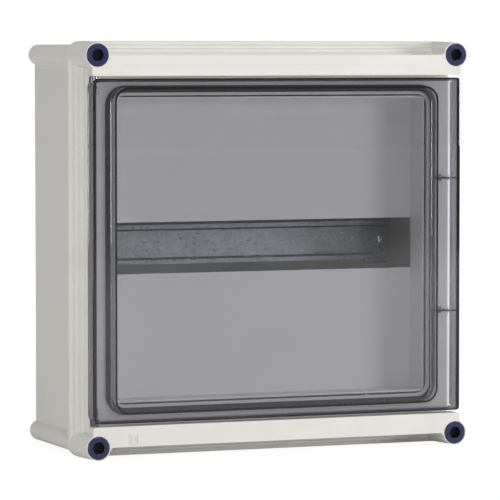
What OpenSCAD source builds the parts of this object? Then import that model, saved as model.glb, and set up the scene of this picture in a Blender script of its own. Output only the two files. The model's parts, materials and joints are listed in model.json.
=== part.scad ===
// Insulated enclosure for modular devices on a 35 mm top-hat rail: a moulded
// base box with corner columns, a stepped cover held by four quarter-turn
// screws, a clear smoked door that swings on two pins, and a dished fascia of a
// surround and two plates, with one row of modules between the plates.
// Millimetres. X is right, Z is up, the front looks along -Y, and the origin is
// the middle of the rear fixing face.

/* [Enclosure] */
// Width over the rim where base and cover meet
rim_side = 360; // [310:1:420]
// Depth from the rear face to the front of the door
depth = 160; // [150:1:200]
// Distance from the rim to the axis of each corner screw
screw_inset = 12; // [11.5:0.25:14]
// Thickness of the moulded walls
wall = 3; // [2.5:0.25:3.5]

/* [Base] */
// How far the rim stands out from the side walls of the base
rim_overhang = 8.8; // [8:0.2:9.6]
// Thickness of the rim flange of the base
flange_t = 4; // [3:0.5:6]
// Outer radius of the corner columns of the base
column_r = 9; // [8.4:0.1:10]
// Distance from the rim to the axis of each wall fixing hole
fixing_inset = 30; // [27:0.5:40]
// Diameter of the wall fixing holes
fixing_d = 6.6; // [5:0.1:8]

/* [Cover] */
// Depth of the cover from the front to the rim
cover_depth = 44; // [42:0.5:50]
// Width of one step on the sides of the cover
step_out = 3.2; // [2.8:0.1:3.4]
// Depth of one step on the sides of the cover
step_deep = 6; // [4.5:0.25:6.5]
// Width of the strips above and below the door
strip_w = 17; // [14:0.5:24]
// Width of the frame face between each strip and the opening
band_w = 17; // [15.5:0.5:24]
// Depth of the frame face behind the front of the strips
frame_drop = 17; // [15.5:0.5:18]

/* [Door] */
// Thickness of the door sheet
door_t = 3; // [2.5:0.25:4]
// Thickness of the skirt round the door
skirt_t = 2.8; // [2:0.2:3]
// How far the door stands out past the sides of the cover
door_overhang = 5.5; // [4.8:0.1:6]
// Gap between the door and each strip
door_gap = 2.3; // [1.8:0.1:3]
// Radius of the hinge pins
pin_r = 1.5; // [1.2:0.1:1.8]
// Height of the latch section between the two catch ribs
catch_pitch = 118; // [80:1:160]

/* [Fascia] */
// Width of one module, of which the row takes as many as fit
module_w = 18; // [17.5:0.1:18]
// Least width of the frame face beside the opening
side_band_w = 18; // [17.5:0.5:24]
// Height of the slot that the modules look through
slot_h = 45; // [44:0.5:48]
// Height of the dished fascia inside its walls, which sets the height of the box
fascia_h = 260; // [200:1:320]
// Depth of the fascia face behind the front
fascia_drop = 46; // [44:0.5:48]
// Thickness of the fascia
fascia_t = 1.8; // [1.5:0.1:2.4]

/* [Rail] */
// Width of the top-hat rail
rail_w = 35; // [35:1:35]
// Height of the top-hat rail
rail_h = 7.5; // [7.5:0.5:15]
// Thickness of the rail
rail_t = 1; // [0.8:0.1:1.2]
// Depth of the front of the rail behind the front of the door
rail_drop = 95; // [90:0.5:100]
// Distance from the side of the base to each rail screw
rail_inset = 34.2; // [34:0.1:60]

/* [Corner screws] */
// Radius of the screw heads
head_r = 10; // [9:0.1:10.2]
// Depth of the screw heads
head_t = 8; // [6:0.5:10]
// Radius of the screw shanks
shank_r = 3.5; // [3:0.1:4]

/* [Hidden] */
$fn = 64;
eps = 0.01;
far = 1000;

// Outline of the box: half-widths end in x and half-heights in z
steps = 4;
tray_gap = 1.4;
open_z = fascia_h / 2 + fascia_t + tray_gap;
strip_in = open_z + band_w;
cover_z = strip_in + strip_w;
rim_x = rim_side / 2;
rim_z = cover_z + steps * step_out;
cover_x = rim_x - steps * step_out;
screw_x = rim_x - screw_inset;
screw_z = rim_z - screw_inset;

// Base
base_x = rim_x - rim_overhang;
base_z = rim_z - rim_overhang;
base_front = cover_depth;
fixing_boss_r = 8;
fixing_boss_t = 4;
lip_h = 3;
lip_t = 1.6;
lip_gap = 0.6;
lip_corner = 22;

// Stepped sides of the cover
rim_edge = 4;
first_step = cover_depth - rim_edge - (steps - 1) * step_deep;
front_round = 1.6;
arc_parts = 4;
pillar_r = head_r + 0.9;
pillar_fillet = 7;
land = 1.3;
land_x = base_x + land;
land_z = base_z + land;

// Row of modules, frame, strips and opening
row_gap = 0.2;
row_room = cover_x - side_band_w - tray_gap - fascia_t - row_gap;
modules = floor(2 * row_room / module_w);
tray_x = modules * module_w / 2 + row_gap;
tray_z = fascia_h / 2;
tray_r = 1.6;
open_x = tray_x + fascia_t + tray_gap;
open_r = 9;
strip_x = cover_x + door_overhang;
strip_deep = 14;
strip_r = 2.5;

// Seals
seal_w = 3;
seal_h = 2.8;
seal_out = 6.1;
seal_x = base_x + seal_out;
seal_z = base_z + seal_out;
gasket_margin = 2.6;
gasket_w = 6;
gasket_proud = 2;
gasket_sunk = 1;

// Door, hinge and catch
door_x = strip_x;
door_z = strip_in - door_gap;
door_hinge_r = 8;
door_catch_r = 4;
door_front_round = 1.2;
skirt_deep = strip_deep;
seal_rib_t = 1.8;
seal_rib_side = 3.7;
seal_rib_top = 6.4;
seal_rib_gap = 0.3;
knuckle_r = 4;
knuckle_len = 13;
knuckle_gap = 0.3;
pin_gap = 0.06;
knuckle_edge = 0.2;
pin_x = -(door_x - knuckle_r - knuckle_edge);
pin_drop = 9;
pin_in_strip = 8;
pin_in_door = 10;
pin_end_gap = 1;
catch_rib_t = 1.2;
catch_rib_end = 13;
catch_lens_r = 6;
catch_lens_t = 2;
catch_inset = 5;
catch_x = cover_x - catch_inset;
catch_cheek_t = 1.6;
catch_cheek_l = 7;
catch_cheek_top = 10.5;
catch_gap = 0.3;

// Fascia
tray_front = frame_drop + wall + 0.3;
tray_back = fascia_drop;
plate_back = fascia_drop + fascia_t;
wall_x = tray_x + fascia_t;
wall_z = tray_z + fascia_t;
label_top = 10.8;
label_h = 20;
label_sunk = 0.7;
ear_w = 16;
ear_r = 4;
ear_t = 3;
ear_root = 1;
ear_back = tray_back - ear_t;
ear_inset = 30;
ear_out = 6;
ear_z = tray_z - ear_inset;
ear_x = open_x + ear_out;
ear_pilot_r = 1.6;
ear_hole_gap = 0.3;
fascia_screw_head_r = 3.6;
fascia_screw_head_t = 2;
fascia_screw_len = 12;
fascia_screw_end_gap = 1;

// Rail, brackets and their fixings
rail_screw_x = base_x - rail_inset;
rail_end = 7;
rail_x = rail_screw_x + rail_end;
rail_web_w = 27;
rail_inner_r = 0.8;
sheet_t = 2;
bracket_h = 44;
bracket_top_l = 22;
bracket_foot_l = 18;
bracket_gap = 1;
bracket_leg_x = rail_x + bracket_gap + sheet_t;
bracket_foot_x = bracket_leg_x + bracket_foot_l / 2;
bend_r = 3;
bracket_boss_r = 6;
bracket_boss_t = 6;
bracket_hole_pitch = 26;
rail_hole_r = 2.7;
rail_shank_r = 2.5;
rail_head_r = 4.7;
rail_head_t = 3;
rail_nut_r = 4.6;
rail_nut_t = 4;
rail_screw_tip = 1.5;
foot_head_r = 4.2;
foot_head_t = 2.6;
foot_shank_r = 2;
foot_hole_gap = 0.4;
foot_tip_gap = 0.4;
head_taper = 0.9;
cross_w = 1.3;
cross_l = 5.4;
cross_deep = 1.6;

// Corner screws and what holds them
head_proud = 1;
head_gap = 0.1;
head_bevel = 0.9;
socket_r = 5;
socket_floor = 1.6;
socket_mouth = 0.5;
socket_notches = 6;
socket_notch_r = 0.7;
shank_gap = 0.1;
groove_r = shank_r - 0.8;
seal_cord_r = 0.9;
seal_pocket_r = shank_r + 2.6;
seal_pocket_t = 2.2;
retainer_t = 1.2;
retainer_gap = 0.2;
retainer_r = shank_r + 1.9;
groove_t = retainer_t + 2 * retainer_gap;
groove_at = cover_depth - 3;
insert_r = 6.2;
insert_sunk = 1;
insert_front = base_front + insert_sunk;
insert_t = 12;
cam_w = 3;
cam_r = 5.7;
cam_t = 3;
cam_gap = 0.3;
cam_room = 2;
screw_tip = insert_front + insert_t + cam_gap + cam_t;

housing_color = [0.87, 0.86, 0.83];
smoke_color = [0.35, 0.36, 0.38, 0.5];
rubber_color = [0.2, 0.2, 0.21];
steel_color = [0.62, 0.64, 0.66];
blue_color = [0.13, 0.17, 0.33];

// A slab between two depths behind the front, from an outline drawn in X and Z
module slab(d0, d1) {
    translate([0, d1 - depth, 0]) rotate([90, 0, 0])
        linear_extrude(d1 - d0) children();
}

// Copies at the four corner screws
module at_corners(x = screw_x, z = screw_z) {
    for (sx = [-1, 1], sz = [-1, 1]) translate([sx * x, 0, sz * z]) children();
}

// A rod along the depth, between two depths behind the front
module rod(d0, d1, r0, r1 = undef) {
    translate([0, d0 - depth, 0]) rotate([-90, 0, 0])
        cylinder(h = d1 - d0, r1 = r0, r2 = is_undef(r1) ? r0 : r1);
}

module rounded(hx, hz, r) {
    square([2 * hx, 2 * (hz - r)], center = true);
    square([2 * (hx - r), 2 * hz], center = true);
    for (sx = [-1, 1], sz = [-1, 1])
        translate([sx * (hx - r), sz * (hz - r)]) circle(r);
}

module ring(hx, hz, r, w) {
    difference() {
        rounded(hx, hz, r);
        rounded(hx - w, hz - w, r - w);
    }
}

// Points of a quarter round that turns from facing front to facing outward
function quarter(h, d, r) =
    [for (i = [0 : arc_parts])
        [h - r + r * sin(90 * i / arc_parts), d + r - r * cos(90 * i / arc_parts)]];

// Half profile of a stepped side, from the half-width of its front: width against depth
function step_profile(half, front, inset, lag) = concat(
    [[0, front]],
    quarter(half - inset, front, front_round),
    [for (k = [0 : steps - 1])
        each concat(
            [[half + k * step_out - inset, first_step + k * step_deep + lag]],
            quarter(half + (k + 1) * step_out - inset,
                    first_step + k * step_deep + lag, step_out))],
    [[half + steps * step_out - inset, cover_depth + lag], [0, cover_depth + lag]]);

// The whole profile, mirrored about the middle
function both_sides(p) = concat(p, [for (i = [len(p) - 1 : -1 : 0]) [-p[i][0], p[i][1]]]);

// A block whose sides in X and in Z follow two profiles of half-width and depth
module profile_block(px, pz) {
    intersection() {
        translate([0, -depth, -far / 2])
            linear_extrude(far) polygon(both_sides(px));
        translate([-far / 2, -depth, 0]) rotate([90, 0, 90])
            linear_extrude(far) polygon([for (q = both_sides(pz)) [q[1], q[0]]]);
    }
}

module step_block(front, inset, lag) {
    profile_block(step_profile(cover_x, front, inset, lag),
                  step_profile(cover_z, front, inset, lag));
}

// Circles at the corner screws, drawn in X and Z
module corner_discs(r) {
    for (sx = [-1, 1], sz = [-1, 1]) translate([sx * screw_x, sz * screw_z]) circle(r);
}

// Web that blends a round pillar at the origin into a wall whose face lies at height h
module pillar_web(h, r, f) {
    rise = h + f;
    run = sqrt((r + f) * (r + f) - rise * rise);
    difference() {
        polygon([[0, -r / 2], [0, rise], [-run, rise], [-run, h - wall], [0, h - wall]]);
        translate([-run, rise]) circle(f);
        translate([-run - f, rise]) square([run + f, f]);
        circle(r - eps);
    }
}

module base_outline() {
    square([2 * base_x, 2 * base_z], center = true);
    corner_discs(column_r);
}

module base_shell() {
    color(housing_color) difference() {
        union() {
            difference() {
                union() {
                    slab(base_front, depth) base_outline();
                    slab(base_front, base_front + flange_t)
                        rounded(rim_x, rim_z, screw_inset);
                }
                slab(base_front - eps, depth - wall) difference() {
                    square([2 * (base_x - wall), 2 * (base_z - wall)], center = true);
                    corner_discs(column_r);
                }
            }
            locating_lips();
            fixing_places() rod(depth - wall - fixing_boss_t, depth - wall + eps,
                                fixing_boss_r);
            bracket_places() rod(depth - wall - bracket_boss_t, depth - wall + eps,
                                 bracket_boss_r);
        }
        at_corners() rod(base_front - eps, screw_tip + cam_room, insert_r);
        fixing_places() rod(depth - wall - fixing_boss_t - eps, depth + eps, fixing_d / 2);
        bracket_places() rod(depth - wall - bracket_boss_t - eps, depth - wall,
                             foot_shank_r);
    }
}

// Places of the wall fixing holes
module fixing_places() {
    at_corners(rim_x - fixing_inset, rim_z - fixing_inset) children();
}

// Low lips that stand inside the edge of the cover, clear of its corners
module locating_lips() {
    lip_x = land_x - lip_gap;
    lip_z = land_z - lip_gap;
    slab(base_front - lip_h, base_front + flange_t) difference() {
        square([2 * lip_x, 2 * lip_z], center = true);
        square([2 * (lip_x - lip_t), 2 * (lip_z - lip_t)], center = true);
        for (sx = [-1, 1], sz = [-1, 1]) translate([sx * screw_x, sz * screw_z])
            square(2 * lip_corner, center = true);
    }
}

module base_gasket() {
    color(rubber_color) slab(cover_depth - seal_h, cover_depth) seal_outline();
}

module seal_outline() {
    ring(seal_x, seal_z, seal_x - screw_x, seal_w);
}

module pillar_webs() {
    slab(0, cover_depth - rim_edge) for (sx = [-1, 1], sz = [-1, 1], swap = [0, 1])
        scale([sx, sz]) translate([screw_x, screw_z]) mirror([swap, -swap])
            pillar_web(cover_x - screw_x, pillar_r, pillar_fillet);
}

module cover_body() {
    intersection() {
        step_block(0, 0, 0);
        slab(0, cover_depth) rounded(rim_x, rim_z, screw_inset);
    }
    at_corners() rod(0, cover_depth, pillar_r, screw_inset);
    pillar_webs();
}

// Hollow inside of the cover, behind the frame face
module cover_hollow() {
    intersection() {
        step_block(frame_drop + wall, wall, wall);
        slab(frame_drop, cover_depth + wall) difference() {
            square([2 * land_x, 2 * land_z], center = true);
            corner_discs(screw_inset);
        }
    }
    strip_room = screw_x - pillar_r - wall;
    for (s = [-1, 1])
        translate([-strip_room, wall - depth, s > 0 ? strip_in + wall : wall - cover_z])
            cube([2 * strip_room, frame_drop + wall, strip_w - 2 * wall]);
}

module strip_ends() {
    for (s = [-1, 1]) mirror([0, 0, s > 0 ? 0 : 1])
        slab(0, strip_deep) translate([0, (strip_in + screw_z) / 2])
            rounded(strip_x, (screw_z - strip_in) / 2, strip_r);
}

module cover_frame() {
    color(housing_color) difference() {
        union() {
            difference() {
                cover_body();
                slab(-eps, frame_drop) square([far, 2 * strip_in], center = true);
                cover_hollow();
            }
            strip_ends();
            fascia_bosses();
            catch_cheeks();
        }
        slab(frame_drop - eps, cover_depth) rounded(open_x, open_z, open_r);
        slab(frame_drop - eps, frame_drop + gasket_sunk) gasket_outline();
        slab(cover_depth - seal_h, cover_depth + eps) seal_outline();
        at_corners() {
            rod(-eps, head_t - head_proud, head_r + head_gap);
            rod(0, cover_depth + eps, shank_r + shank_gap);
            rod(head_t - head_proud - eps, head_t - head_proud + seal_pocket_t,
                seal_pocket_r);
            rod(groove_at, cover_depth + eps, retainer_r);
        }
        for (s = [-1, 1]) hinge_rod(s, strip_in - eps, strip_in + pin_in_strip, pin_r);
        fascia_places() rod(ear_back - fascia_screw_len, ear_back, ear_pilot_r);
    }
}

module gasket_outline() {
    ring(open_x + gasket_margin + gasket_w, open_z + gasket_margin + gasket_w,
         open_r + gasket_margin + gasket_w, gasket_w);
}

module door_gasket() {
    color(rubber_color) slab(frame_drop - gasket_proud, frame_drop + gasket_sunk)
        gasket_outline();
}

// Vertical rod on the hinge axis, between two heights, above or below
module hinge_rod(s, z0, z1, r) {
    translate([pin_x, pin_drop - depth, s > 0 ? z0 : -z1])
        cylinder(h = z1 - z0, r = r);
}

// Cheeks on the frame that grip the lens of each catch rib
module catch_cheeks() {
    reach = catch_lens_t / 2 + catch_gap;
    for (s = [-1, 1], side = [-1, 1])
        translate([catch_x - catch_cheek_l / 2, catch_cheek_top - depth,
                   s * catch_pitch / 2 + (side > 0 ? reach : -reach - catch_cheek_t)])
            cube([catch_cheek_l, frame_drop - catch_cheek_top + eps, catch_cheek_t]);
}

// Lens-shaped swelling of a catch rib
module catch_lens() {
    off = catch_lens_r - catch_lens_t / 2;
    slab(door_t - eps, catch_rib_end) translate([catch_x, 0]) intersection() {
        translate([0, off]) circle(catch_lens_r);
        translate([0, -off]) circle(catch_lens_r);
    }
}

// Outline of the door, with larger corners at the hinge than at the catch
module door_outline(inset) {
    shift = door_hinge_r;
    intersection() {
        rounded(door_x - inset, door_z - inset, door_catch_r - inset);
        translate([shift, 0])
            rounded(door_x + shift - inset, door_z - inset, door_hinge_r - inset);
    }
}

function door_profile(h) = concat(
    [[0, 0]], quarter(h, 0, door_front_round), [[h, skirt_deep], [0, skirt_deep]]);

module door() {
    rib_x = open_x + seal_rib_side + seal_rib_t / 2;
    rib_z = open_z + seal_rib_top + seal_rib_t / 2;
    rib_r = open_r + seal_rib_side;
    color(smoke_color) difference() {
        union() {
            difference() {
                intersection() {
                    translate([0, -depth, -far / 2])
                        linear_extrude(far) polygon(both_sides(door_profile(door_x)));
                    translate([-far / 2, -depth, 0]) rotate([90, 0, 90])
                        linear_extrude(far)
                            polygon([for (q = both_sides(door_profile(door_z))) [q[1], q[0]]]);
                    slab(0, skirt_deep) door_outline(0);
                }
                slab(door_t, skirt_deep + eps) door_outline(skirt_t);
            }
            slab(door_t - eps, frame_drop - gasket_proud - seal_rib_gap)
                ring(rib_x, rib_z, rib_r, seal_rib_t);
            for (s = [-1, 1]) {
                translate([rib_x - eps, door_t - eps - depth,
                           s * catch_pitch / 2 - catch_rib_t / 2])
                    cube([door_x - skirt_t - rib_x + 2 * eps,
                          catch_rib_end - door_t, catch_rib_t]);
                translate([0, 0, s * catch_pitch / 2]) catch_lens();
                hinge_rod(s, door_z - knuckle_len, strip_in - knuckle_gap, knuckle_r);
            }
        }
        for (s = [-1, 1])
            hinge_rod(s, door_z - pin_in_door - pin_end_gap, strip_in, pin_r + pin_gap);
    }
}

module hinge_pin(s) {
    color(steel_color) hinge_rod(s, door_z - pin_in_door, strip_in + pin_in_strip, pin_r);
}

module hinge_pin_upper() { hinge_pin(1); }
module hinge_pin_lower() { hinge_pin(-1); }

// Places of the fascia screws, on ears outside the fascia walls
module fascia_places() {
    for (sx = [-1, 1], sz = [-1, 1]) translate([sx * ear_x, 0, sz * ear_z]) children();
}

module fascia_bosses() {
    fascia_places() rod(frame_drop + wall - eps, ear_back, ear_r);
}

// Ears outside the walls of the fascia, in the rows above (1) and below (-1)
module fascia_ears(rows) {
    ear_end = ear_x + ear_r;
    for (sx = [-1, 1], sz = rows)
        translate([sx * (wall_x + ear_end - ear_root) / 2, sz * ear_z])
            square([ear_end - wall_x + ear_root, ear_w], center = true);
}

module fascia_ear_holes() {
    fascia_places() rod(ear_back - eps, plate_back + eps, ear_pilot_r + ear_hole_gap);
}

module fascia_surround() {
    color(housing_color) difference() {
        union() {
            slab(tray_front, tray_back) difference() {
                rounded(wall_x, wall_z, tray_r + fascia_t);
                rounded(tray_x, tray_z, tray_r);
            }
            slab(ear_back, tray_back) fascia_ears([-1, 1]);
        }
        fascia_ear_holes();
    }
}

// Plate above or below the modules, screwed behind the surround by its ears
module fascia_plate(s) {
    color(housing_color) difference() {
        slab(fascia_drop, plate_back) {
            intersection() {
                rounded(wall_x, wall_z, tray_r + fascia_t);
                translate([-wall_x, s > 0 ? slot_h / 2 : -wall_z])
                    square([2 * wall_x, wall_z - slot_h / 2]);
            }
            fascia_ears([s]);
        }
        fascia_ear_holes();
        if (s < 0) slab(fascia_drop - eps, fascia_drop + label_sunk)
            translate([-tray_x, -slot_h / 2 - label_top - label_h])
                square([2 * tray_x, label_h]);
    }
}

module fascia_plate_upper() { fascia_plate(1); }
module fascia_plate_lower() { fascia_plate(-1); }

module fascia_screws() {
    color(steel_color) fascia_places() difference() {
        union() {
            rod(ear_back - fascia_screw_len + fascia_screw_end_gap, plate_back, ear_pilot_r);
            rod(plate_back, plate_back + fascia_screw_head_t, fascia_screw_head_r);
        }
        cross_cut(plate_back + fascia_screw_head_t - cross_deep,
                  plate_back + fascia_screw_head_t + eps);
    }
}

// Cross recess cut between two depths
module cross_cut(d0, d1) {
    for (a = [0, 90]) slab(d0, d1) rotate(a) square([cross_w, cross_l], center = true);
}

// Section of the rail in depth (x) and height (y), with bent corners
module rail_section() {
    r = rail_inner_r + rail_t;
    half = rail_web_w / 2;
    root = half - rail_t + r;
    translate([rail_h - rail_t, r - half]) square([rail_t, 2 * (half - r)]);
    for (s = [0, 1]) mirror([0, s]) {
        translate([rail_h - r, half - r]) bend(90, r, rail_t);
        translate([r, half - rail_t]) square([rail_h - 2 * r, rail_t]);
        translate([r, root]) bend(-90, r, rail_t);
        translate([0, root]) square([rail_t, rail_w / 2 - root]);
    }
}

module din_rail() {
    color(steel_color) difference() {
        translate([-rail_x, rail_drop - depth, 0]) rotate([90, 0, 90])
            linear_extrude(2 * rail_x) rail_section();
        rail_screw_places() rod(rail_drop, rail_drop + rail_h + eps, rail_hole_r);
    }
}

module rail_screw_places() {
    for (s = [-1, 1]) translate([s * rail_screw_x, 0, 0]) children();
}

// Places of the bracket screws on the rear wall
module bracket_places() {
    for (sx = [-1, 1], sz = [-1, 1])
        translate([sx * bracket_foot_x, 0, sz * bracket_hole_pitch / 2]) children();
}

// Bent strip of sheet in X and depth: flange, leg and foot
module bracket_section() {
    top = rail_drop + rail_h;
    foot = depth - wall - bracket_boss_t;
    leg0 = bracket_leg_x - sheet_t;
    translate([leg0 + sheet_t - bracket_top_l, top]) square([bracket_top_l - bend_r, sheet_t]);
    translate([leg0, top + bend_r]) square([sheet_t, foot - top - 2 * bend_r]);
    translate([leg0 + bend_r, foot - sheet_t]) square([bracket_foot_l - bend_r, sheet_t]);
    translate([leg0 + sheet_t - bend_r, top + bend_r]) bend(0, bend_r, sheet_t);
    translate([leg0 + bend_r, foot - bend_r]) bend(180, bend_r, sheet_t);
}

// Quarter bend of sheet with outer radius r and thickness t, turned by an angle
module bend(a, r, t) {
    rotate(a) intersection() {
        difference() {
            circle(r);
            circle(r - t);
        }
        translate([0, -r]) square(r);
    }
}

module bracket(sx) {
    color(steel_color) difference() {
        mirror([sx > 0 ? 0 : 1, 0, 0])
            translate([0, -depth, -bracket_h / 2]) linear_extrude(bracket_h) bracket_section();
        translate([sx * rail_screw_x, 0, 0])
            rod(rail_drop + rail_h - eps, rail_drop + rail_h + sheet_t + eps, rail_hole_r);
        bracket_places() rod(depth - wall - bracket_boss_t - sheet_t - eps,
                             depth - wall - bracket_boss_t + eps,
                             foot_shank_r + foot_hole_gap);
    }
}

module rail_bracket_left() { bracket(-1); }
module rail_bracket_right() { bracket(1); }

module rail_screws() {
    front = rail_drop + rail_h - rail_t;
    color(steel_color) rail_screw_places() difference() {
        union() {
            rod(front - rail_head_t, front, rail_head_r - head_taper, rail_head_r);
            rod(front - eps, front + rail_t + sheet_t + rail_nut_t + rail_screw_tip,
                rail_shank_r);
        }
        cross_cut(front - rail_head_t - eps, front - rail_head_t + cross_deep);
    }
}

module rail_nuts() {
    back = rail_drop + rail_h + sheet_t;
    color(steel_color) rail_screw_places() difference() {
        slab(back, back + rail_nut_t) circle(rail_nut_r, $fn = 6);
        rod(back - eps, back + rail_nut_t + eps, rail_shank_r);
    }
}

module bracket_screws() {
    foot = depth - wall - bracket_boss_t - sheet_t;
    color(steel_color) bracket_places() difference() {
        union() {
            rod(foot - foot_head_t, foot, foot_head_r - head_taper, foot_head_r);
            rod(foot - eps, foot + sheet_t + bracket_boss_t - foot_tip_gap, foot_shank_r);
        }
        cross_cut(foot - foot_head_t - eps, foot - foot_head_t + cross_deep);
    }
}

// Corner screw with a notched socket, a captive groove and two cams
module cover_screw(sx, sz) {
    front = -head_proud;
    color(blue_color) translate([sx * screw_x, 0, sz * screw_z]) difference() {
        union() {
            rod(front, front + head_bevel, head_r - head_bevel, head_r);
            rod(front + head_bevel - eps, front + head_t, head_r);
            rod(front + head_t - eps, groove_at, shank_r);
            rod(groove_at - eps, groove_at + groove_t, groove_r);
            rod(groove_at + groove_t - eps, screw_tip, shank_r);
            slab(screw_tip - cam_t, screw_tip) intersection() {
                square([2 * cam_r, cam_w], center = true);
                circle(cam_r);
            }
        }
        slab(front - eps, front + head_t - socket_floor) {
            circle(socket_r);
            for (i = [0 : socket_notches - 1]) rotate(i * 360 / socket_notches)
                translate([socket_r, 0]) circle(socket_notch_r, $fn = 24);
        }
        rod(front - eps, front + socket_mouth, socket_r + socket_mouth, socket_r);
    }
}

module cover_screw_top_left() { cover_screw(-1, 1); }
module cover_screw_top_right() { cover_screw(1, 1); }
module cover_screw_bottom_left() { cover_screw(-1, -1); }
module cover_screw_bottom_right() { cover_screw(1, -1); }

// Slotted bushes behind which the cams lock
module screw_inserts() {
    color(steel_color) at_corners() difference() {
        rod(insert_front, insert_front + insert_t, insert_r);
        rod(insert_front - eps, insert_front + insert_t + eps, shank_r + shank_gap);
        slab(insert_front - eps, insert_front + insert_t + eps)
            square([cam_w + 2 * cam_gap, 2 * (cam_r + shank_gap)], center = true);
    }
}

module screw_seals() {
    back = head_t - head_proud + seal_pocket_t;
    color(rubber_color) at_corners()
        translate([0, back - seal_cord_r - depth, 0]) rotate([90, 0, 0])
            rotate_extrude() translate([seal_pocket_r - seal_cord_r, 0]) circle(seal_cord_r, $fn = 24);
}

module screw_retainers() {
    color(steel_color) at_corners() difference() {
        rod(groove_at + retainer_gap, groove_at + retainer_gap + retainer_t, retainer_r);
        rod(groove_at, groove_at + groove_t, groove_r + shank_gap);
    }
}

base_shell();
base_gasket();
cover_frame();
door_gasket();
door();
hinge_pin_upper();
hinge_pin_lower();
fascia_surround();
fascia_plate_upper();
fascia_plate_lower();
fascia_screws();
din_rail();
rail_bracket_left();
rail_bracket_right();
rail_screws();
rail_nuts();
bracket_screws();
cover_screw_top_left();
cover_screw_top_right();
cover_screw_bottom_left();
cover_screw_bottom_right();
screw_inserts();
screw_seals();
screw_retainers();
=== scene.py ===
"""Finishes, added details, studio and camera for an insulated enclosure for modular devices."""

import json

import bmesh
import bpy
from mathutils import Matrix, Vector


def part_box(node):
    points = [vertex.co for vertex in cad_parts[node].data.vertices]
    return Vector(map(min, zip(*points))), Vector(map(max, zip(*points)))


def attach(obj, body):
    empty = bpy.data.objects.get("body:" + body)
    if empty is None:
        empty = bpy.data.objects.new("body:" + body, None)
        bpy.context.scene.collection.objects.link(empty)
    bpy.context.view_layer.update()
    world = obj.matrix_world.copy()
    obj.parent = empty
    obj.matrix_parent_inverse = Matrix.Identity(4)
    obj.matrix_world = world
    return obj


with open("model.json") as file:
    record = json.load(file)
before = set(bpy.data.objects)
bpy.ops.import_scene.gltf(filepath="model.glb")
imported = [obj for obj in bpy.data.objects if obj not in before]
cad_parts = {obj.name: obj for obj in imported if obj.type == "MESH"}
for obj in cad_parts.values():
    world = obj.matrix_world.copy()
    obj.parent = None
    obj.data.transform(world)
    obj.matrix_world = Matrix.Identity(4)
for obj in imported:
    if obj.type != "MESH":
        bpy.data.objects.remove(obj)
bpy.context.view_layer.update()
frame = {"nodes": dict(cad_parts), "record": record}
nodes = frame["nodes"]

MM = 0.001

# Places that the details are set out from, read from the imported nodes.
cover_low, cover_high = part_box("cover_frame")
door_low, door_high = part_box("door")
front_y = cover_low.y
floor_z = cover_low.z
screw_low, screw_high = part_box("cover_screw_top_right")
head_y = screw_low.y
screw_pitch = screw_low.x + screw_high.x

# Width of the band round the door where painted shade darkens it
DOOR_SHADE_BAND = 3.4 * MM
# Rear lip of the door: its gap behind the skirt, its depth, its thickness, and how far
# it stops short of the door's ends
SKIRT_DEPTH = 14.0 * MM
LIP_GAP = 0.05 * MM
LIP_DEPTH = 3.55 * MM
LIP_THICK = 2.8 * MM
LIP_INSET = 6.0 * MM
# Share of the white surround that a reflection shows
MIRRORED_SHARE = 0.2


# ---------------------------------------------------------------- node helpers

def material_tree(name):
    """A new material with an output, and its node tree."""
    material = bpy.data.materials.new(name)
    material.use_nodes = True
    tree = material.node_tree
    tree.nodes.clear()
    output = tree.nodes.new("ShaderNodeOutputMaterial")
    return material, tree, output


def add(tree, kind, **values):
    """A node of that kind, with attributes and input values set by name."""
    node = tree.nodes.new(kind)
    for name, value in values.items():
        if hasattr(node, name):
            setattr(node, name, value)
        else:
            node.inputs[name.replace("_", " ")].default_value = value
    return node


def join(tree, source, target):
    tree.links.new(source, target)


def peak(tree, first, second):
    """The larger of two values."""
    node = add(tree, "ShaderNodeMath", operation="MAXIMUM")
    join(tree, first, node.inputs[0])
    join(tree, second, node.inputs[1])
    return node.outputs["Value"]


def object_coordinates(tree):
    return add(tree, "ShaderNodeTexCoord").outputs["Object"]


def noise(tree, vector, scale, detail=2.0, roughness=0.5):
    node = add(tree, "ShaderNodeTexNoise")
    node.inputs["Scale"].default_value = scale
    node.inputs["Detail"].default_value = detail
    node.inputs["Roughness"].default_value = roughness
    join(tree, vector, node.inputs["Vector"])
    return node.outputs["Fac"]


def ramp(tree, factor, stops):
    """A colour ramp on factor, with stops of (position, grey level)."""
    node = add(tree, "ShaderNodeValToRGB")
    elements = node.color_ramp.elements
    while len(elements) < len(stops):
        elements.new(0.5)
    for element, (position, level) in zip(elements, stops):
        element.position = position
        element.color = (level, level, level, 1.0)
    join(tree, factor, node.inputs["Fac"])
    return node.outputs["Color"]


def remap(tree, factor, low, high, new_low, new_high):
    node = add(tree, "ShaderNodeMapRange")
    for name, value in (("From Min", low), ("From Max", high),
                        ("To Min", new_low), ("To Max", new_high)):
        node.inputs[name].default_value = value
    join(tree, factor, node.inputs["Value"])
    return node.outputs["Result"]


def feed(tree, value, socket):
    """Links a socket, or sets a colour or a number on it."""
    if isinstance(value, bpy.types.NodeSocket):
        join(tree, value, socket)
    elif isinstance(value, tuple):
        socket.default_value = (*value, 1.0)
    else:
        socket.default_value = value


def blend_colours(tree, factor, first, second, mode="MIX"):
    node = add(tree, "ShaderNodeMix", data_type="RGBA", blend_type=mode)
    for name, value in (("Factor", factor), ("A", first), ("B", second)):
        feed(tree, value, node.inputs[name])
    return node.outputs["Result"]


def times(tree, first, second):
    """The product of two values."""
    node = add(tree, "ShaderNodeMath", operation="MULTIPLY")
    join(tree, first, node.inputs[0])
    join(tree, second, node.inputs[1])
    return node.outputs["Value"]


def mapped(tree, vector, scale):
    node = add(tree, "ShaderNodeMapping")
    node.inputs["Scale"].default_value = scale
    join(tree, vector, node.inputs["Vector"])
    return node.outputs["Vector"]


# ---------------------------------------------------------------- shared effects

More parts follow.
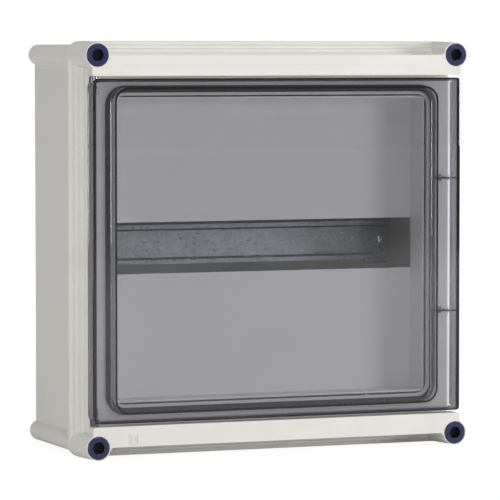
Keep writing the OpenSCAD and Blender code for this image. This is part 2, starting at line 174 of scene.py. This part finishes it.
def effect(name, inputs, outputs):
    """A node group with named sockets, each (name, kind) or (name, kind, value)."""
    group = bpy.data.node_groups.new(name, "ShaderNodeTree")
    for direction, sockets in (("INPUT", inputs), ("OUTPUT", outputs)):
        for label, kind, *value in sockets:
            socket = group.interface.new_socket(
                name=label, in_out=direction, socket_type="NodeSocket" + kind)
            if value:
                socket.default_value = value[0]
    return group, add(group, "NodeGroupInput"), add(group, "NodeGroupOutput")


def place_effect(tree, group, **values):
    node = add(tree, "ShaderNodeGroup")
    node.node_tree = group
    for name, value in values.items():
        feed(tree, value, node.inputs[name.replace("_", " ")])
    return node


def build_mould_grain():
    """Fine spark-eroded grain of a mould: a surface normal and a soft mask of its pits."""
    group, source, result = effect(
        "mould grain",
        [("Vector", "Vector"), ("Scale", "Float", 1400.0), ("Depth", "Float", 0.1),
         ("Distance", "Float", 0.0001)],
        [("Normal", "Vector"), ("Pits", "Float")])
    fine = add(group, "ShaderNodeTexNoise")
    fine.inputs["Detail"].default_value = 3.0
    fine.inputs["Roughness"].default_value = 0.6
    join(group, source.outputs["Vector"], fine.inputs["Vector"])
    join(group, source.outputs["Scale"], fine.inputs["Scale"])
    pits = ramp(group, fine.outputs["Fac"], [(0.34, 0.0), (0.62, 1.0)])
    bump = add(group, "ShaderNodeBump")
    join(group, source.outputs["Depth"], bump.inputs["Strength"])
    join(group, source.outputs["Distance"], bump.inputs["Distance"])
    join(group, pits, bump.inputs["Height"])
    join(group, bump.outputs["Normal"], result.inputs["Normal"])
    join(group, pits, result.inputs["Pits"])
    return group


def build_flow_tone():
    """Slow change of tone across a moulding, as the melt flowed and aged."""
    group, source, result = effect(
        "flow tone",
        [("Vector", "Vector"), ("Colour", "Color"), ("Amount", "Float", 0.04)],
        [("Colour", "Color"), ("Mask", "Float")])
    slow = noise(group, source.outputs["Vector"], 5.0, 3.0, 0.55)
    patchy = noise(group, source.outputs["Vector"], 38.0, 2.0, 0.5)
    both = add(group, "ShaderNodeMath", operation="ADD")
    join(group, remap(group, slow, 0.25, 0.75, 0.0, 0.7), both.inputs[0])
    join(group, remap(group, patchy, 0.25, 0.75, 0.0, 0.3), both.inputs[1])
    deeper = blend_colours(group, 1.0, source.outputs["Colour"], (0.80, 0.78, 0.74), "MULTIPLY")
    share = times(group, both.outputs["Value"], source.outputs["Amount"])
    toned = blend_colours(group, share, source.outputs["Colour"], deeper)
    join(group, toned, result.inputs["Colour"])
    join(group, both.outputs["Value"], result.inputs["Mask"])
    return group


def build_handling_marks():
    """Hairline scratches that cross each other: a mask."""
    group, source, result = effect(
        "handling marks",
        [("Vector", "Vector"), ("Scale", "Float", 60.0)],
        [("Mask", "Float")])
    hairs = []
    for turn, stretch in ((0.5, 26.0), (2.1, 34.0), (1.3, 20.0)):
        turned = add(group, "ShaderNodeMapping")
        turned.inputs["Rotation"].default_value = (0.0, turn, 0.0)
        turned.inputs["Scale"].default_value = (1.0, 1.0, stretch)
        join(group, source.outputs["Vector"], turned.inputs["Vector"])
        streaks = add(group, "ShaderNodeTexNoise")
        streaks.inputs["Detail"].default_value = 2.0
        join(group, turned.outputs["Vector"], streaks.inputs["Vector"])
        join(group, source.outputs["Scale"], streaks.inputs["Scale"])
        hairs.append(ramp(group, streaks.outputs["Fac"], [(0.68, 0.0), (0.74, 1.0)]))
    total = hairs[0]
    for hair in hairs[1:]:
        total = peak(group, total, hair)
    join(group, total, result.inputs["Mask"])
    return group


MOULD_GRAIN = build_mould_grain()
FLOW_TONE = build_flow_tone()
HANDLING_MARKS = build_handling_marks()


# ---------------------------------------------------------------- finishes

def principled(tree, output, **values):
    shader = add(tree, "ShaderNodeBsdfPrincipled")
    for name, value in values.items():
        shader.inputs[name.replace("_", " ")].default_value = value
    join(tree, shader.outputs["BSDF"], output.inputs["Surface"])
    return shader


def moulded_plastic(name, colour, roughness, grain_scale, grain_depth, tone=0.5):
    """Opaque thermoplastic with a fine mould grain."""
    material, tree, output = material_tree(name)
    shader = principled(tree, output, IOR=1.5, Specular_IOR_Level=0.4)
    place = object_coordinates(tree)
    toned = place_effect(tree, FLOW_TONE, Vector=place, Colour=colour, Amount=tone)
    grain = place_effect(tree, MOULD_GRAIN, Vector=place, Scale=grain_scale,
                         Depth=grain_depth, Distance=0.06 * MM)
    join(tree, toned.outputs["Colour"], shader.inputs["Base Color"])
    level = remap(tree, grain.outputs["Pits"], 0.0, 1.0, roughness - 0.05, roughness + 0.05)
    join(tree, level, shader.inputs["Roughness"])
    join(tree, grain.outputs["Normal"], shader.inputs["Normal"])
    return material


def screw_plastic():
    """Dark blue thermoplastic of the corner screws, with painted shade that makes it nearly black down
    in the tool socket.
    """
    material, tree, output = material_tree("dark blue screw plastic")
    shader = principled(tree, output, IOR=1.5, Specular_IOR_Level=0.4)
    place = object_coordinates(tree)
    screw_axis = (screw_pitch / 2, 0.0, screw_pitch / 2)
    across = place
    for operation, values in (("ABSOLUTE", None), ("SUBTRACT", screw_axis),
                              ("MULTIPLY", (1.0, 0.0, 1.0)), ("LENGTH", None)):
        step = add(tree, "ShaderNodeVectorMath", operation=operation)
        join(tree, across, step.inputs[0])
        if values:
            step.inputs[1].default_value = values
        across = step.outputs["Value" if operation == "LENGTH" else "Vector"]
    parted = add(tree, "ShaderNodeSeparateXYZ")
    join(tree, place, parted.inputs["Vector"])
    # Painted shade: a mask that grows with depth into the tool socket and darkens the colour there
    deep = remap(tree, parted.outputs["Y"], head_y + 0.3 * MM, head_y + 2.5 * MM, 0.0, 1.0)
    within = remap(tree, across, 5.6 * MM, 5.9 * MM, 1.0, 0.0)
    socket_painted_shade = times(tree, deep, within)
    blue = blend_colours(tree, socket_painted_shade, (0.022, 0.029, 0.088), (0.002, 0.002, 0.008))
    toned = place_effect(tree, FLOW_TONE, Vector=place, Colour=blue, Amount=0.5)
    grain = place_effect(tree, MOULD_GRAIN, Vector=place, Scale=1900.0, Depth=0.12,
                         Distance=0.05 * MM)
    join(tree, toned.outputs["Colour"], shader.inputs["Base Color"])
    join(tree, remap(tree, socket_painted_shade, 0.0, 1.0, 0.24, 0.7), shader.inputs["Roughness"])
    join(tree, grain.outputs["Normal"], shader.inputs["Normal"])
    return material


def seal_rubber():
    """Closed-cell sealing rubber with a dry skin."""
    material, tree, output = material_tree("seal rubber")
    shader = principled(tree, output, IOR=1.5, Specular_IOR_Level=0.3)
    place = object_coordinates(tree)
    toned = place_effect(tree, FLOW_TONE, Vector=place, Colour=(0.030, 0.031, 0.034), Amount=0.8)
    grain = place_effect(tree, MOULD_GRAIN, Vector=place, Scale=2200.0, Depth=0.3,
                         Distance=0.05 * MM)
    join(tree, toned.outputs["Colour"], shader.inputs["Base Color"])
    join(tree, remap(tree, toned.outputs["Mask"], 0.0, 1.0, 0.62, 0.78),
         shader.inputs["Roughness"])
    join(tree, grain.outputs["Normal"], shader.inputs["Normal"])
    return material


def door_edge_shade(tree, place):
    """Painted shade: how much darker the door is painted near its four sides, most of all on its front
    face.

    A plain dark tint painted on, which stands for the long way that light takes through those edges.
    """
    centred = add(tree, "ShaderNodeVectorMath", operation="SUBTRACT")
    join(tree, place, centred.inputs[0])
    centred.inputs[1].default_value = (door_low + door_high) / 2
    folded = add(tree, "ShaderNodeVectorMath", operation="ABSOLUTE")
    join(tree, centred.outputs["Vector"], folded.inputs[0])
    parted = add(tree, "ShaderNodeSeparateXYZ")
    join(tree, folded.outputs["Vector"], parted.inputs["Vector"])
    half = (door_high - door_low) / 2
    # Painted shade mask: 1 within the edge band at the sides, eased off behind the front face
    sides = [remap(tree, parted.outputs[axis], reach - DOOR_SHADE_BAND, reach - DOOR_SHADE_BAND + 0.2 * MM, 0.0, 1.0)
             for axis, reach in (("X", half.x), ("Z", half.z))]
    depth = add(tree, "ShaderNodeSeparateXYZ")
    join(tree, place, depth.inputs["Vector"])
    level = remap(tree, depth.outputs["Y"], door_low.y + 0.6 * MM, door_low.y + 1.4 * MM, 1.0, 0.62)
    return times(tree, peak(tree, *sides), level)


def smoked_clear():
    """Clear smoked polycarbonate, polished, with a few hairlines. Lamps shine through it."""
    material, tree, output = material_tree("smoked clear")
    shader = add(tree, "ShaderNodeBsdfPrincipled")
    shader.inputs["IOR"].default_value = 1.585
    shader.inputs["Transmission Weight"].default_value = 1.0
    place = object_coordinates(tree)
    # Painted shade: the base colour goes nearly black over the band round the door's edges
    join(tree, blend_colours(tree, door_edge_shade(tree, place), (1.0, 1.0, 1.0), (0.03, 0.03, 0.05)),
         shader.inputs["Base Color"])
    marks = place_effect(tree, HANDLING_MARKS, Vector=place, Scale=45.0)
    join(tree, remap(tree, marks.outputs["Mask"], 0.0, 1.0, 0.015, 0.09),
         shader.inputs["Roughness"])
    lit_through = add(tree, "ShaderNodeBsdfTransparent")
    lit_through.inputs["Color"].default_value = (1.0, 1.0, 1.0, 1.0)
    path = add(tree, "ShaderNodeLightPath")
    mixed = add(tree, "ShaderNodeMixShader")
    join(tree, peak(tree, path.outputs["Is Shadow Ray"], path.outputs["Is Diffuse Ray"]),
         mixed.inputs["Fac"])
    join(tree, shader.outputs["BSDF"], mixed.inputs[1])
    join(tree, lit_through.outputs["BSDF"], mixed.inputs[2])
    join(tree, mixed.outputs["Shader"], output.inputs["Surface"])
    smoke = add(tree, "ShaderNodeVolumeAbsorption")
    smoke.inputs["Color"].default_value = (0.14, 0.145, 0.225, 1.0)
    smoke.inputs["Density"].default_value = 148.0
    join(tree, smoke.outputs["Volume"], output.inputs["Volume"])
    return material


def plated_steel(name, colour, roughness, line_scale):
    """Bright zinc on steel, with fine lines left by rolling or turning."""
    material, tree, output = material_tree(name)
    shader = principled(tree, output, Metallic=1.0)
    place = object_coordinates(tree)
    lines = noise(tree, mapped(tree, place, (0.05, 1.0, 1.0)), line_scale, 3.0, 0.6)
    toned = place_effect(tree, FLOW_TONE, Vector=place, Colour=colour, Amount=0.6)
    join(tree, toned.outputs["Colour"], shader.inputs["Base Color"])
    join(tree, remap(tree, lines, 0.3, 0.7, roughness - 0.08, roughness + 0.1),
         shader.inputs["Roughness"])
    bump = add(tree, "ShaderNodeBump", Strength=0.12, Distance=0.02 * MM)
    join(tree, lines, bump.inputs["Height"])
    join(tree, bump.outputs["Normal"], shader.inputs["Normal"])
    return material


def galvanised_steel():
    """Zinc spangle, in flat crystals that each reflect a little differently."""
    material, tree, output = material_tree("galvanised steel")
    shader = principled(tree, output, Metallic=1.0)
    place = object_coordinates(tree)
    crystals = add(tree, "ShaderNodeTexVoronoi", feature="F1")
    crystals.inputs["Scale"].default_value = 420.0
    crystals.inputs["Randomness"].default_value = 1.0
    warp = add(tree, "ShaderNodeVectorMath", operation="MULTIPLY_ADD")
    warp.inputs[1].default_value = (0.004, 0.004, 0.004)
    swirl = add(tree, "ShaderNodeTexNoise")
    swirl.inputs["Scale"].default_value = 140.0
    join(tree, place, swirl.inputs["Vector"])
    join(tree, swirl.outputs["Color"], warp.inputs[0])
    join(tree, place, warp.inputs[2])
    join(tree, warp.outputs["Vector"], crystals.inputs["Vector"])
    level = add(tree, "ShaderNodeSeparateColor")
    join(tree, crystals.outputs["Color"], level.inputs["Color"])
    colour = blend_colours(tree, level.outputs["Red"], (0.34, 0.365, 0.37), (0.45, 0.475, 0.48))
    join(tree, colour, shader.inputs["Base Color"])
    streaks = noise(tree, mapped(tree, place, (0.04, 1.0, 1.0)), 500.0, 3.0, 0.6)
    mixed = add(tree, "ShaderNodeMath", operation="ADD")
    join(tree, remap(tree, level.outputs["Green"], 0.0, 1.0, 0.0, 0.12), mixed.inputs[0])
    join(tree, remap(tree, streaks, 0.3, 0.7, 0.22, 0.34), mixed.inputs[1])
    join(tree, mixed.outputs["Value"], shader.inputs["Roughness"])
    bump = add(tree, "ShaderNodeBump", Strength=0.06, Distance=0.02 * MM)
    join(tree, level.outputs["Blue"], bump.inputs["Height"])
    join(tree, bump.outputs["Normal"], shader.inputs["Normal"])
    return material


def turned_brass():
    material, tree, output = material_tree("turned brass")
    shader = principled(tree, output, Metallic=1.0)
    place = object_coordinates(tree)
    rings = noise(tree, mapped(tree, place, (1.0, 0.08, 1.0)), 1500.0, 2.0, 0.5)
    toned = place_effect(tree, FLOW_TONE, Vector=place, Colour=(0.72, 0.53, 0.24), Amount=0.7)
    join(tree, toned.outputs["Colour"], shader.inputs["Base Color"])
    join(tree, remap(tree, rings, 0.3, 0.7, 0.22, 0.38), shader.inputs["Roughness"])
    return material


HOUSING = moulded_plastic("housing plastic", (0.76, 0.745, 0.705), 0.46, 1500.0, 0.22)
FASCIA = moulded_plastic("fascia plastic", (0.84, 0.835, 0.82), 0.40, 2100.0, 0.12)
SCREW_BLUE = screw_plastic()
RUBBER = seal_rubber()
SMOKED = smoked_clear()
PIN = plated_steel("drawn pin steel", (0.42, 0.43, 0.45), 0.42, 900.0)
SCREW_STEEL = plated_steel("plated screw steel", (0.68, 0.69, 0.70), 0.28, 1400.0)
GALVANISED = galvanised_steel()
BRASS = turned_brass()

FINISHES = {
    "housing": HOUSING, "fascia_grey": FASCIA, "seal_rubber": RUBBER,
    "smoked_clear": SMOKED, "pin_steel": PIN, "screw_steel": SCREW_STEEL,
    "zinc_steel": GALVANISED, "screw_blue": SCREW_BLUE, "bush_brass": BRASS,
}


def dress_cad_nodes():
    """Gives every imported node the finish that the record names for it."""
    for part in frame["record"]["subparts"]:
        for slot in nodes[part["node"]].material_slots:
            slot.material = FINISHES[part["material_slot"]]


# ---------------------------------------------------------------- added details

def finish_piece(mesh, name, material, body="enclosure"):
    """Turns a bmesh into a piece that rides on a body."""
    data = bpy.data.meshes.new(name)
    bmesh.ops.recalc_face_normals(mesh, faces=mesh.faces)
    mesh.to_mesh(data)
    mesh.free()
    data.materials.append(material)
    piece = bpy.data.objects.new(name, data)
    bpy.context.scene.collection.objects.link(piece)
    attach(piece, body)
    return piece


def add_bar(mesh, low, high, bevel=0.0):
    """A bar between two corners, with its edges rounded by bevel."""
    centre, size = (low + high) / 2, high - low
    made = bmesh.ops.create_cube(mesh, size=1.0,
                                 matrix=Matrix.Translation(centre) @ Matrix.Diagonal((*size, 1.0)))
    if bevel:
        edges = {edge for vert in made["verts"] for edge in vert.link_edges}
        bmesh.ops.bevel(mesh, geom=list(edges), offset=bevel, affect="EDGES", segments=2,
                        profile=0.5, material=-1)


def door_lip():
    """Rear lip of the door's skirt on the catch side, a hair clear of the skirt's edge."""
    mesh = bmesh.new()
    lip_front = door_low.y + SKIRT_DEPTH + LIP_GAP
    add_bar(mesh, Vector((door_high.x - LIP_THICK, lip_front, door_low.z + LIP_INSET)),
            Vector((door_high.x, lip_front + LIP_DEPTH, door_high.z - LIP_INSET)), 0.3 * MM)
    # The lip lies in the door's painted dark edge band, so painted shade turns it nearly black
    return finish_piece(mesh, "door_lip", SMOKED, body="door")


def strip_bead():
    """Low bead along the upper strip."""
    mesh = bmesh.new()
    z = cover_high.z - 20.2 * MM
    add_bar(mesh, Vector((-0.142, front_y - 0.18 * MM, z - 0.35 * MM)),
            Vector((0.128, front_y + 0.3 * MM, z + 0.35 * MM)), 0.12 * MM)
    return finish_piece(mesh, "strip_bead", HOUSING)


def insulation_mark():
    """Two squares, one inside the other, raised on the lower strip."""
    mesh = bmesh.new()
    centre = Vector((-0.136, front_y, cover_low.z + 18.6 * MM))
    line, proud = 0.32 * MM, 0.35 * MM
    for half in (3.7 * MM, 1.9 * MM):
        for sx, sz, lx, lz in ((0, 1, half, line), (0, -1, half, line),
                               (1, 0, line, half), (-1, 0, line, half)):
            middle = centre + Vector((sx * half, 0.0, sz * half))
            reach = Vector((lx + line * (lx == half), 0.0, lz))
            add_bar(mesh, middle - reach - Vector((0, proud, 0)),
                    middle + reach + Vector((0, proud, 0)))
    return finish_piece(mesh, "insulation_mark", HOUSING)


# ---------------------------------------------------------------- studio

def soft_lamp(name, place, target, size, power):
    data = bpy.data.lights.new(name, "AREA")
    data.shape = "RECTANGLE"
    data.size, data.size_y = size
    data.energy = power
    lamp = bpy.data.objects.new(name, data)
    lamp.location = place
    lamp.rotation_euler = (Vector(target) - Vector(place)).to_track_quat("-Z", "Y").to_euler()
    bpy.context.scene.collection.objects.link(lamp)
    return lamp


def seen_directly(tree):
    """1 for camera and glass rays, MIRRORED_SHARE once reflected, 0 for rays that light surfaces."""
    path = add(tree, "ShaderNodeLightPath")
    straight = peak(tree, path.outputs["Is Camera Ray"], path.outputs["Is Transmission Ray"])
    looking = peak(tree, straight, path.outputs["Is Glossy Ray"])
    sharp = remap(tree, path.outputs["Diffuse Depth"], 0.0, 1.0, 1.0, 0.0)
    dimmed = remap(tree, path.outputs["Glossy Depth"], 0.0, 1.0, 1.0, MIRRORED_SHARE)
    return times(tree, times(tree, looking, sharp), dimmed)


def white_world(strength):
    world = bpy.data.worlds.new("studio")
    bpy.context.scene.world = world
    world.use_nodes = True
    tree = world.node_tree
    tree.nodes.clear()
    output = add(tree, "ShaderNodeOutputWorld")
    lit = add(tree, "ShaderNodeBackground", Strength=strength)
    lit.inputs["Color"].default_value = (0.97, 0.98, 1.0, 1.0)
    shown = add(tree, "ShaderNodeBackground", Strength=1.0)
    shown.inputs["Color"].default_value = (1.0, 1.0, 1.0, 1.0)
    mixed = add(tree, "ShaderNodeMixShader")
    join(tree, seen_directly(tree), mixed.inputs["Fac"])
    join(tree, lit.outputs["Background"], mixed.inputs[1])
    join(tree, shown.outputs["Background"], mixed.inputs[2])
    join(tree, mixed.outputs["Shader"], output.inputs["Surface"])


def white_floor():
    """Floor that reads as white and keeps a soft shadow."""
    mesh = bmesh.new()
    bmesh.ops.create_grid(mesh, x_segments=1, y_segments=1, size=9.0,
                          matrix=Matrix.Translation((0.0, 0.0, floor_z - 0.2 * MM)))
    data = bpy.data.meshes.new("floor")
    mesh.to_mesh(data)
    mesh.free()
    floor = bpy.data.objects.new("floor", data)
    bpy.context.scene.collection.objects.link(floor)
    material, tree, output = material_tree("floor paper")
    paper = add(tree, "ShaderNodeBsdfDiffuse")
    paper.inputs["Color"].default_value = (0.88, 0.88, 0.88, 1.0)
    glow = add(tree, "ShaderNodeEmission", Strength=1.2)
    reach = add(tree, "ShaderNodeVectorMath", operation="LENGTH")
    join(tree, object_coordinates(tree), reach.inputs[0])
    share = times(tree, seen_directly(tree),
                  remap(tree, reach.outputs["Value"], 0.5, 1.6, 0.76, 1.0))
    mixed = add(tree, "ShaderNodeMixShader")
    join(tree, share, mixed.inputs["Fac"])
    join(tree, paper.outputs["BSDF"], mixed.inputs[1])
    join(tree, glow.outputs["Emission"], mixed.inputs[2])
    join(tree, mixed.outputs["Shader"], output.inputs["Surface"])
    data.materials.append(material)
    return floor


def camera():
    """Long lens, a little to the left of the box and a little above it."""
    data = bpy.data.cameras.new("camera")
    data.lens = 252.0
    data.sensor_width = 36.0
    data.clip_end = 60.0
    eye = bpy.data.objects.new("camera", data)
    eye.location = (-1.158, front_y - 2.813, 0.173)
    forward = Vector((0.3720, 0.9265, -0.0573))
    eye.rotation_euler = forward.to_track_quat("-Z", "Y").to_euler()
    bpy.context.scene.collection.objects.link(eye)
    bpy.context.scene.camera = eye
    return eye


dress_cad_nodes()
door_lip()
strip_bead()
insulation_mark()

white_world(0.20)
white_floor()
soft_lamp("key", (2.5, -2.1, 0.4), (0.0, -0.1, 0.0), (1.0, 0.8), 56.0)
soft_lamp("low", (-0.95, -2.4, 0.05), (0.0, -0.1, 0.0), (0.9, 0.35), 11.0)
soft_lamp("left", (-2.4, -0.5, 0.12), (0.0, -0.1, -0.05), (1.4, 0.6), 13.0)
soft_lamp("overhead", (0.2, -0.4, 2.4), (0.0, -0.05, 0.0), (1.8, 1.4), 15.0)
soft_lamp("high front", (-0.2, -1.6, 1.9), (0.0, -0.3, -0.1), (1.8, 1.2), 11.0)
camera()

bpy.context.scene.view_settings.view_transform = "Standard"
